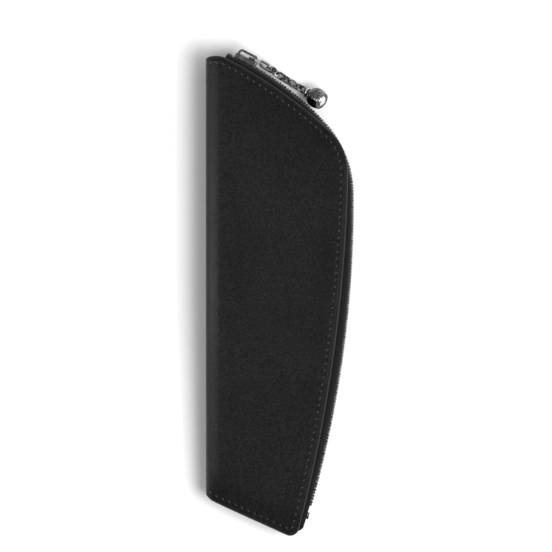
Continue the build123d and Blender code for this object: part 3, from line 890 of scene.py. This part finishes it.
def turned(name, profile, place, finish, ring=False, sides=72):
    """A shape turned on a lathe: (x along the axis, radius) points, closed on the axis or as a ring."""
    angles = np.linspace(0, 2 * math.pi, sides, endpoint=False)
    points, rows = [], []
    for x, radius in profile:
        if radius < 1e-9:
            rows.append([len(points)] * sides)
            points.append((x, 0.0, 0.0))
        else:
            rows.append(list(range(len(points), len(points) + sides)))
            points += [(x, radius * math.cos(a), radius * math.sin(a)) for a in angles]
    pairs = list(zip(rows, rows[1:]))
    if ring:
        pairs.append((rows[-1], rows[0]))
    faces = []
    for near, far in pairs:
        for i in range(sides):
            j = (i + 1) % sides
            corners = [near[i], near[j], far[j], far[i]]
            faces.append(tuple(dict.fromkeys(corners)))
    piece = mesh_object(name, [place @ Vector(p) for p in points], faces, finish)
    shape = bmesh.new()
    shape.from_mesh(piece.data)
    bmesh.ops.recalc_face_normals(shape, faces=shape.faces)
    shape.to_mesh(piece.data)
    shape.free()
    return piece


def box_centre(node):
    low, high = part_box(node)
    return (low + high) / 2


def along(start, end, roll=0.0):
    """Frame at start with x towards end, y level, turned about x by roll."""
    x = (end - start).normalized()
    y = Vector((0, 0, 1)).cross(x).normalized()
    z = x.cross(y)
    turn = Matrix((x, y, z)).transposed().to_4x4()
    return Matrix.Translation(start) @ turn @ Matrix.Rotation(roll, 4, "X")


def joint_of(child):
    return next(joint for joint in JOINTS.values() if joint["child"] == child)


def pivot(child):
    return Vector(joint_of(child)["pos_m"])


def tape_places():
    """Stations along the tape, the last of them tucked into the sewn bottom."""
    start = ZIP.s_where(lambda p: p[0] - TAPE_START_X, -0.1, 0)
    end = ZIP.s_where(lambda p: above_bottom(p) - 1.6 * MM, ZIP.corner_length, 0.2)
    return np.linspace(start, end, 330)


def tape_sheet(name, zip_settings, hide, front, finish):
    """One tape: a hem under the leather, a shoulder, and a wall down to the beaded edge at the zip."""
    sign = 1 if front else -1
    thickness = zip_settings.tape
    points, weave = [], []
    places = tape_places()
    plan = np.array([ZIP.at(s)[0] for s in places])
    angles = np.array([ZIP.at(s)[1] for s in places])
    gaps = line_distance(plan, OUTLINE[::2])
    edge_plan = plan - np.stack([np.cos(angles), np.sin(angles)], 1) * gaps[:, None]
    tops = skin(edge_plan) - MIDDLE - hide.thickness - thickness / 2 - 0.02 * MM
    bottoms = above_bottom(plan)
    hem_shares = (1.0, 0.6, 0.25, 0.06)
    rows = 0
    for place, spot, angle, gap, top, rise in zip(places, plan, angles, gaps, tops, bottoms):
        tuck = float(smooth((TAPE_TUCK - rise) / (TAPE_TUCK - 1.4 * MM)))
        away = -(gap + 1.2 * MM) * tuck
        lowest = TAPE_EDGE * (1 - 0.55 * tuck)
        drop = min(zip_settings.shoulder, max(top - lowest - 0.3 * MM, 0.15 * MM))
        section = [(-gap - zip_settings.hem * share, top) for share in hem_shares]
        for t in np.linspace(0, math.pi / 2, 9):
            section.append((-gap + gap * math.sin(t), top - drop * (1 - math.cos(t))))
        for share in (0.35, 0.7, 1.0):
            section.append((0.0, top - drop + (lowest - top + drop) * share))
        across = lengths_along(np.array(section)) / MM
        outward = unit(angle)
        for (n, height), distance in zip(section, across):
            shift = away if n > -gap - 0.5 * MM else away * 0.5
            x, y = spot + outward * (n + shift)
            points.append((x, y, MIDDLE + sign * height))
            weave.append((place / MM, distance))
        rows = len(section)
    count = len(places)
    numbers = np.arange(count * rows).reshape(count, rows)
    faces = [face for a, b in zip(numbers, numbers[1:]) for face in quads(a, b)]
    if front:
        faces = [face[::-1] for face in faces]
    piece = mesh_object(name, points, faces, finish)
    layer = piece.data.uv_layers.new(name="weave")
    for loop in piece.data.loops:
        layer.data[loop.index].uv = weave[loop.vertex_index]
    solid = piece.modifiers.new("Thickness", "SOLIDIFY")
    solid.thickness = thickness
    solid.offset = 0.0
    return baked(piece)


def tooth_item(zip_settings, flip):
    """One crimped tooth, x along the zip, y outwards and z up, narrower at its head."""
    width, depth = zip_settings.tooth_width / 2, zip_settings.tooth_depth
    head, root = zip_settings.head, zip_settings.root
    sections = [
        (-head, 0.62, 0.55), (-head * 0.72, 0.86, 0.86), (-head * 0.2, 1.0, 1.0),
        (root * 0.8, 1.0, 1.0), (root, 0.72, 0.8),
    ]
    shape = [(-1, -0.6), (-0.6, -1), (0.6, -1), (1, -0.6), (1, 0.6), (0.6, 1), (-0.6, 1), (-1, 0.6)]
    points = [
        (x * width * wide, y * depth * deep, -height if flip else height)
        for height, wide, deep in sections for x, y in shape
    ]
    size = len(shape)
    rows = [list(range(i * size, (i + 1) * size)) for i in range(len(sections))]
    faces = [rows[0][::-1], rows[-1]]
    for low, high in zip(rows, rows[1:]):
        faces += quads(low + low[:1], high + high[:1])
    if flip:
        faces = [tuple(face[::-1]) for face in faces]
    item = mesh_object("tooth_item", points, faces)
    item.data.set_sharp_from_angle(angle=math.radians(40))
    return item


def stitch_item(thread):
    """One slanted stitch of two-ply thread whose ends dive into the leather."""
    half = thread.length / 2
    points, rows = [], []
    for share in np.linspace(-1, 1, 9):
        girth = thread.radius * (1 - 0.35 * abs(share) ** 3)
        height = -0.02 * MM - 0.4 * MM * abs(share) ** 3.0
        row = []
        for number in range(8):
            angle = 2 * math.pi * number / 8
            ply = 1 + 0.2 * math.cos(2 * (angle - share * 2.6))
            row.append(len(points))
            points.append((
                share * half, girth * ply * math.cos(angle), height + girth * ply * math.sin(angle),
            ))
        rows.append(row)
    faces = [tuple(rows[0][::-1]), tuple(rows[-1])]
    for near, far in zip(rows, rows[1:]):
        faces += quads(far + far[:1], near + near[:1])
    return mesh_object("stitch_item", points, faces)


def remove(piece):
    mesh = piece.data
    bpy.data.objects.remove(piece)
    bpy.data.meshes.remove(mesh)


# --- Operators ------------------------------------------------------------------------------------
class PENCASE_OT_hide(bpy.types.Operator):
    """Builds the leather: the front with the fold in one piece, and the back"""
    bl_idname = "pencase.hide"
    bl_label = "Hide"

    def execute(self, context):
        hide = context.scene.pencase_hide
        finish = leather_finish("Calf leather", hide.colour, 0.44, hide.grain)
        profile = hide_profile(hide)
        front = leather_sheet("front_hide", profile, 0.0, hide.thickness, bulge=0.07 * MM, finish=finish)
        finished(front, None, ["cover_leather", "flap_leather"], ("root", "flap"))
        back = leather_sheet("back_hide", profile, 0.0, hide.thickness, True, 0.07 * MM, finish)
        finished(back, "root", ["cover_leather"])
        return {"FINISHED"}


class PENCASE_OT_inside(bpy.types.Operator):
    """Builds the stiffening and the lining cloth"""
    bl_idname = "pencase.inside"
    bl_label = "Linings"

    def execute(self, context):
        inside, hide = context.scene.pencase_inside, context.scene.pencase_hide
        felt = felt_finish("Stiffening felt", inside.felt)
        cloth = woven_finish("Lining twill", inside.colour, 0.45 * MM, 0.6)
        deep = hide.thickness + inside.interlining
        inset = inside.inset
        felt_profile = [(2.2 * MM, 0.0), (2.6 * MM, 0.0), (EDGE_BAND, 0.0)]
        cloth_profile = [(inset, 0.0), (inset + 0.5 * MM, 0.0), (EDGE_BAND, 0.0)]
        for back in (False, True):
            side = "back" if back else "front"
            ends = None if back else ("root", "flap")
            felt_nodes = ["back_interlining"] if back else ["strip_interlining", "flap_interlining"]
            cloth_nodes = ["cover_lining"] if back else ["cover_lining", "flap_lining"]
            layer = leather_sheet(f"{side}_stiffening", felt_profile, hide.thickness, deep, back, 0.0, felt)
            finished(layer, "root", felt_nodes, ends)
            deepest = deep + inside.lining
            layer = leather_sheet(f"{side}_lining", cloth_profile, deep, deepest, back, 0.0, cloth)
            finished(layer, "root", cloth_nodes, ends)
        return {"FINISHED"}


class PENCASE_OT_tapes(bpy.types.Operator):
    """Builds the two woven tapes of the zip"""
    bl_idname = "pencase.tapes"
    bl_label = "Zip tapes"

    def execute(self, context):
        settings, hide = context.scene.pencase_zip, context.scene.pencase_hide
        finish = woven_finish("Woven tape", settings.colour, 0.5 * MM, 0.62, True)
        front = tape_sheet("front_tape", settings, hide, True, finish)
        finished(front, None, ["head_tape", "flap_tape", "foot_tape"], ("root", "flap"))
        back = tape_sheet("back_tape_weave", settings, hide, False, finish)
        finished(back, "root", ["back_tape"])
        return {"FINISHED"}


class PENCASE_OT_teeth(bpy.types.Operator):
    """Builds both rows of teeth, the top stops and the closed end's box"""
    bl_idname = "pencase.teeth"
    bl_label = "Zip teeth"

    def execute(self, context):
        settings = context.scene.pencase_zip
        finish = metal_finish("Zip metal", settings.metal, 0.22, tarnish=0.16, patch=0.001)
        tree = repeat_tree()
        first = SLIDER_S - SLIDER_LENGTH / 2 + POST_LENGTH + settings.pitch / 2
        run = (settings.count - 1) * settings.pitch + 0.1 * MM
        up = np.tile((0.0, 0.0, 1.0), (500, 1))
        for back in (False, True):
            start = first + (settings.pitch / 2 if back else 0)
            plan = [ZIP.at(s)[0] for s in np.linspace(start, start + run, 500)]
            item = tooth_item(settings, back)
            row = grown(
                "back_row" if back else "front_row", tree, [[(x, y, MIDDLE) for x, y in plan]], [up],
                Item=item, Pitch=settings.pitch, Finish=finish,
            )
            remove(item)
            if back:
                finished(row, "root", ["back_teeth"])
            else:
                nodes = ["head_teeth", "flap_teeth", "foot_teeth"]
                finished(row, None, nodes, ("root", "flap"))
        for node, name in (("top_stops", "stops"), ("end_box", "foot_box")):
            finished(rounded_cad(name, node, 0.15 * MM, finish), "root", [node])
        return {"FINISHED"}


class PENCASE_OT_stitching(bpy.types.Operator):
    """Sews the edge of the case, a stitch at a time, with the row carried over the fold"""
    bl_idname = "pencase.stitching"
    bl_label = "Stitching"

    def execute(self, context):
        hide, thread = context.scene.pencase_hide, context.scene.pencase_thread
        finish = thread_finish("Waxed thread", thread.colour)
        tree = repeat_tree()
        panel = Panel(hide_profile(hide))
        level = [inset for inset, _ in hide_profile(hide)].index(hide.channel)
        size = len(EDGE_PLACES)
        rows = len(panel.left)
        for name, back in (("front_hide", False), ("back_hide", True)):
            mesh = bpy.data.objects[name].data
            numbers = list(range(level * size, (level + 1) * size))
            if not back:
                columns = range(2 * WRAP_ARC + 4)
                base = len(panel.plan)
                low = [base + column * rows + level for column in columns][::-1]
                high = [base + column * rows + rows - 1 - level for column in columns]
                numbers = low + numbers + high
            ups = np.array([mesh.vertices[i].normal for i in numbers])
            line = np.array([mesh.vertices[i].co for i in numbers]) + ups * 0.02 * MM
            item = stitch_item(thread)
            row = grown(
                name.replace("hide", "stitching"), tree, [line], [ups], Item=item, Pitch=thread.pitch,
                Slant=thread.slant, Wander=math.radians(3), Seed=5, Finish=finish,
            )
            remove(item)
            if back:
                finished(row, "root")
            else:
                finished(row, None, (), ("root", "flap"))
        return {"FINISHED"}


class PENCASE_OT_fittings(bpy.types.Operator):
    """Builds the pen loop and the leather that closes the top beside the fold"""
    bl_idname = "pencase.fittings"
    bl_label = "Pen loop and top closure"

    def execute(self, context):
        hide = context.scene.pencase_hide
        finish = leather_finish("Strap leather", shade(hide.colour, 1.3), 0.5, hide.grain, False)
        for node, name in (("pen_loop", "loop_strap"), ("top_gusset", "top_closure")):
            finished(rounded_cad(name, node, 0.25 * MM, finish), "root", [node])
        return {"FINISHED"}


class PENCASE_OT_pull(bpy.types.Operator):
    """Builds the slider, its lug and the chain of links"""
    bl_idname = "pencase.pull"
    bl_label = "Slider and chain"

    def execute(self, context):
        pull = context.scene.pencase_pull
        dark = metal_finish("Slider plating", shade(pull.metal, 0.28), 0.3)
        satin = metal_finish("Lug plating", shade(pull.metal, 0.4), 0.36)
        bright = metal_finish("Chain plating", shade(pull.metal, 1.4), 0.16, tarnish=0.06, patch=0.0012)
        parts = [
            ("slider_shell", "slider_body", "slider", 0.16, "slider_metal", dark),
            ("slider_arch", "slider_bridge", "slider", 0.16, "slider_metal", dark),
            ("lug_loop", "pull_lug", "lug", 0.12, "slider_metal", satin),
        ]
        for name, node, body, width, slot, finish in parts:
            finished(rounded_cad(name, node, width * MM, finish), body, [node])
        tree = wire_tree()
        end = (pull.width - pull.wire) / 2
        half = (pull.length - pull.wire) / 2 - end
        turn = np.linspace(-math.pi / 2, math.pi / 2, 18)
        outline = [(half + end * math.cos(t), end * math.sin(t)) for t in turn]
        outline += [(-x, -y) for x, y in outline]
        names = [f"link_{number}" for number in range(1, 7)] + ["bell"]
        for number, (name, after) in enumerate(zip(names, names[1:])):
            start, stop = pivot(name), pivot(after)
            place = along(start, stop, math.radians(-45 if number % 2 else 45))
            middle = Vector(((stop - start).length / 2, 0, 0))
            line = [place @ (middle + Vector((x, y, 0))) for x, y in outline]
            link = grown(
                f"wire_{name}", tree, [line], closed=True, Radius=pull.wire / 2, Sides=16, Finish=bright,
            )
            finished(link, name, [f"chain_{name}"])
        return {"FINISHED"}


NECK_LENGTH = 2.0 * MM
COLLAR_RADIUS = 2.1 * MM
ENAMEL_RADIUS, ENAMEL_DEPTH = 2.75 * MM, 0.5 * MM
DOME_RADIUS, DOME_RISE = 1.95 * MM, 0.8 * MM
# Grooves turned in the bell: share of its length, width as a share, and depth in millimetres
TURNED_BANDS = ((0.3, 0.018, 0.12), (0.42, 0.018, 0.12), (0.68, 0.02, 0.16), (0.9, 0.025, 0.14))


class PENCASE_OT_bell(bpy.types.Operator):
    """Turns the bell: eye, neck, collar, banded bell, enamel ring and polished dome"""
    bl_idname = "pencase.bell"
    bl_label = "Bell"

    def execute(self, context):
        bell, pull = context.scene.pencase_bell, context.scene.pencase_pull
        smoked = metal_finish("Smoked plating", bell.metal, 0.18, tarnish=0.35, patch=0.0025)
        polished = metal_finish("Polished plating", (0.86, 0.86, 0.87), 0.12, tarnish=0.9)
        enamel = enamel_finish("Black enamel", bell.enamel)
        centre = box_centre("bell_enamel_ring")
        place = along(pivot("bell"), centre)
        depth = ENAMEL_DEPTH
        rim_x = (centre - pivot("bell")).length + depth / 2
        bell_x = rim_x - bell.length
        neck_x = bell_x - NECK_LENGTH
        ring_radius = (pull.width - pull.wire) / 2
        eye_x = neck_x - ring_radius + pull.wire / 4
        circle = [
            place @ Matrix.Rotation(math.radians(45), 4, "X") @ Vector((
                eye_x + ring_radius * math.cos(t), ring_radius * math.sin(t), 0.0,
            )) for t in np.linspace(0, 2 * math.pi, 40, endpoint=False)
        ]
        eye = grown(
            "bell_ring", wire_tree(), [circle], closed=True, Radius=pull.wire / 2, Sides=16, Finish=smoked,
        )
        finished(eye, "bell", ["bell_eye"])
        neck = [(neck_x, 0), (neck_x, 0.7 * bell.neck), (neck_x + 0.25 * MM, bell.neck)]
        neck += [(bell_x, bell.neck), (bell_x, 0)]
        finished(turned("bell_neck", neck, place, smoked), "bell", ["bell_eye"])
        low, high, round_ = bell.neck, COLLAR_RADIUS, 0.16 * MM
        collar = [
            (bell_x - 0.7 * MM, low), (bell_x - 0.7 * MM, high - round_),
            (bell_x - 0.66 * MM, high - 0.05 * MM),
            (bell_x - 0.54 * MM, high), (bell_x - 0.2 * MM, high), (bell_x - 0.05 * MM, high - 0.06 * MM),
            (bell_x, high - round_), (bell_x, low),
        ]
        piece = turned("bell_collar_ring", collar, place, polished, ring=True)
        finished(piece, "bell", ["bell_collar"])
        piece = turned("bell_body", self.flare(bell, bell_x, rim_x, depth), place, smoked)
        finished(piece, "bell", ["bell_shell"])
        inner, outer = DOME_RADIUS, ENAMEL_RADIUS
        flat = rim_x - 0.06 * MM
        ring_profile = [
            (rim_x - depth, inner), (flat - 0.06 * MM, inner), (flat, inner + 0.12 * MM),
            (flat, outer - 0.12 * MM), (flat - 0.06 * MM, outer), (rim_x - depth, outer),
        ]
        finished(turned("bell_ring_enamel", ring_profile, place, enamel, ring=True), "bell",
                 ["bell_enamel_ring"])
        rise = DOME_RISE
        ball = (inner**2 + rise**2) / (2 * rise)
        reach = math.asin(inner / ball)
        dome = [(rim_x - depth, 0.0), (rim_x - depth, inner - 0.02 * MM)]
        for t in np.linspace(reach, 0, 14):
            dome.append((rim_x + rise - ball * (1 - math.cos(t)), max(ball * math.sin(t) - 0.02 * MM, 0.0)))
        finished(turned("bell_cap", dome, place, polished), "bell", ["bell_dome"])
        return {"FINISHED"}

    @staticmethod
    def flare(bell, start, end, depth):
        """Outline of the bell: a swelling flank with turned bands, a lip, and a seat for the enamel."""
        widest = 0.55
        profile = [(start, 0.0)]
        for t in np.linspace(0, 1, 90):
            if t < widest:
                radius = bell.neck + (bell.radius - bell.neck) * (1 - (1 - t / widest) ** 2.2) ** 0.85
            else:
                radius = bell.radius - (bell.radius - bell.rim) * ((t - widest) / (1 - widest)) ** 2
            for place, width, cut in TURNED_BANDS:
                radius -= cut * MM * math.exp(-(((t - place) / width) ** 2))
            profile.append((start + (end - start) * t, radius))
        seat = ENAMEL_RADIUS
        lip = 0.08 * MM
        return profile + [(end, seat + lip), (end - lip, seat), (end - depth, seat), (end - depth, 0.0)]


class PENCASE_OT_stage(bpy.types.Operator):
    """Sets the floor, soft lights, surroundings and camera"""
    bl_idname = "pencase.stage"
    bl_label = "Stage"

    def execute(self, context):
        stage = context.scene.pencase_stage
        material, tree, bsdf, place = finish_base("Paper sweep", stage.floor, 0.9, Specular_IOR_Level=0.1)
        tooth = noise_of(tree, place, 0.002, 3.0)
        paper = colours_of(tree, tooth, (0.3, shade(stage.floor, 0.995)), (0.7, stage.floor))
        tree.links.new(paper, bsdf.inputs["Base Color"])
        size, low = 6.0, -0.1 * MM
        floor = mesh_object(
            "floor", [(-size, -size, low), (size, -size, low), (size, size, low), (-size, size, low)],
            [(0, 1, 2, 3)], material,
        )
        self.light("Key", (0.50, -0.22, 0.95), (0.6, 0.6), stage.key, glossy=False)
        self.light("Softbox", (0.62, -0.1, 0.42), (0.35, 0.7), stage.strip, diffuse=False)
        self.light("Strip", (-0.33, 0.0, 0.20), (0.14, 0.8), stage.strip, diffuse=False)
        world = bpy.data.worlds.new("Surroundings")
        world.use_nodes = True
        back = world.node_tree.nodes["Background"]
        back.inputs["Color"].default_value = (1, 1, 1, 1)
        back.inputs["Strength"].default_value = stage.world
        context.scene.world = world
        context.scene.view_settings.view_transform = "Standard"
        camera = bpy.data.cameras.new("Camera")
        camera.sensor_width = 36
        camera.lens = camera.sensor_width * (stage.distance - 0.01) / stage.field
        camera.clip_end = 100
        holder = new_object("Camera", camera)
        holder.location = (stage.aim_x, stage.aim_y, stage.distance)
        context.scene.camera = holder
        return {"FINISHED"}

    @staticmethod
    def light(name, place, size, power, diffuse=True, glossy=True):
        data = bpy.data.lights.new(name, "AREA")
        data.shape = "RECTANGLE"
        data.size, data.size_y = size
        data.energy = power
        lamp = new_object(name, data)
        lamp.location = place
        lamp.visible_diffuse = diffuse
        lamp.visible_glossy = glossy
        lamp.rotation_euler = (-Vector(place)).to_track_quat("-Z", "Y").to_euler()


GROUPS = {
    "pencase_hide": PENCASE_PG_hide,
    "pencase_inside": PENCASE_PG_inside,
    "pencase_zip": PENCASE_PG_zip,
    "pencase_thread": PENCASE_PG_thread,
    "pencase_pull": PENCASE_PG_pull,
    "pencase_bell": PENCASE_PG_bell,
    "pencase_stage": PENCASE_PG_stage,
}
STEPS = [
    ("hide", PENCASE_OT_hide, "pencase_hide"),
    ("inside", PENCASE_OT_inside, "pencase_inside"),
    ("tapes", PENCASE_OT_tapes, "pencase_zip"),
    ("teeth", PENCASE_OT_teeth, None),
    ("stitching", PENCASE_OT_stitching, "pencase_thread"),
    ("fittings", PENCASE_OT_fittings, None),
    ("pull", PENCASE_OT_pull, "pencase_pull"),
    ("bell", PENCASE_OT_bell, "pencase_bell"),
    ("stage", PENCASE_OT_stage, "pencase_stage"),
]


class PENCASE_PT_panel(bpy.types.Panel):
    """Lists the pieces of the pen case and their settings"""
    bl_idname = "PENCASE_PT_panel"
    bl_label = "Pen case"
    bl_space_type = "VIEW_3D"
    bl_region_type = "UI"
    bl_category = "Pen case"

    def draw(self, context):
        for step, operator, group in STEPS:
            box = self.layout.box()
            box.operator(operator.bl_idname)
            if group:
                settings = getattr(context.scene, group)
                for name in settings.bl_rna.properties.keys():
                    if name not in ("rna_type", "name"):
                        box.prop(settings, name)


CLASSES = [*GROUPS.values(), *[operator for _, operator, _ in STEPS], PENCASE_PT_panel]


def register():
    for item in CLASSES:
        bpy.utils.register_class(item)
    for name, group in GROUPS.items():
        setattr(bpy.types.Scene, name, PointerProperty(type=group))


def unregister():
    for name in GROUPS:
        delattr(bpy.types.Scene, name)
    for item in reversed(CLASSES):
        bpy.utils.unregister_class(item)


def main():
    register()
    for step, _, _ in STEPS:
        getattr(bpy.ops.pencase, step)()


if __name__ == "__main__":
    main()
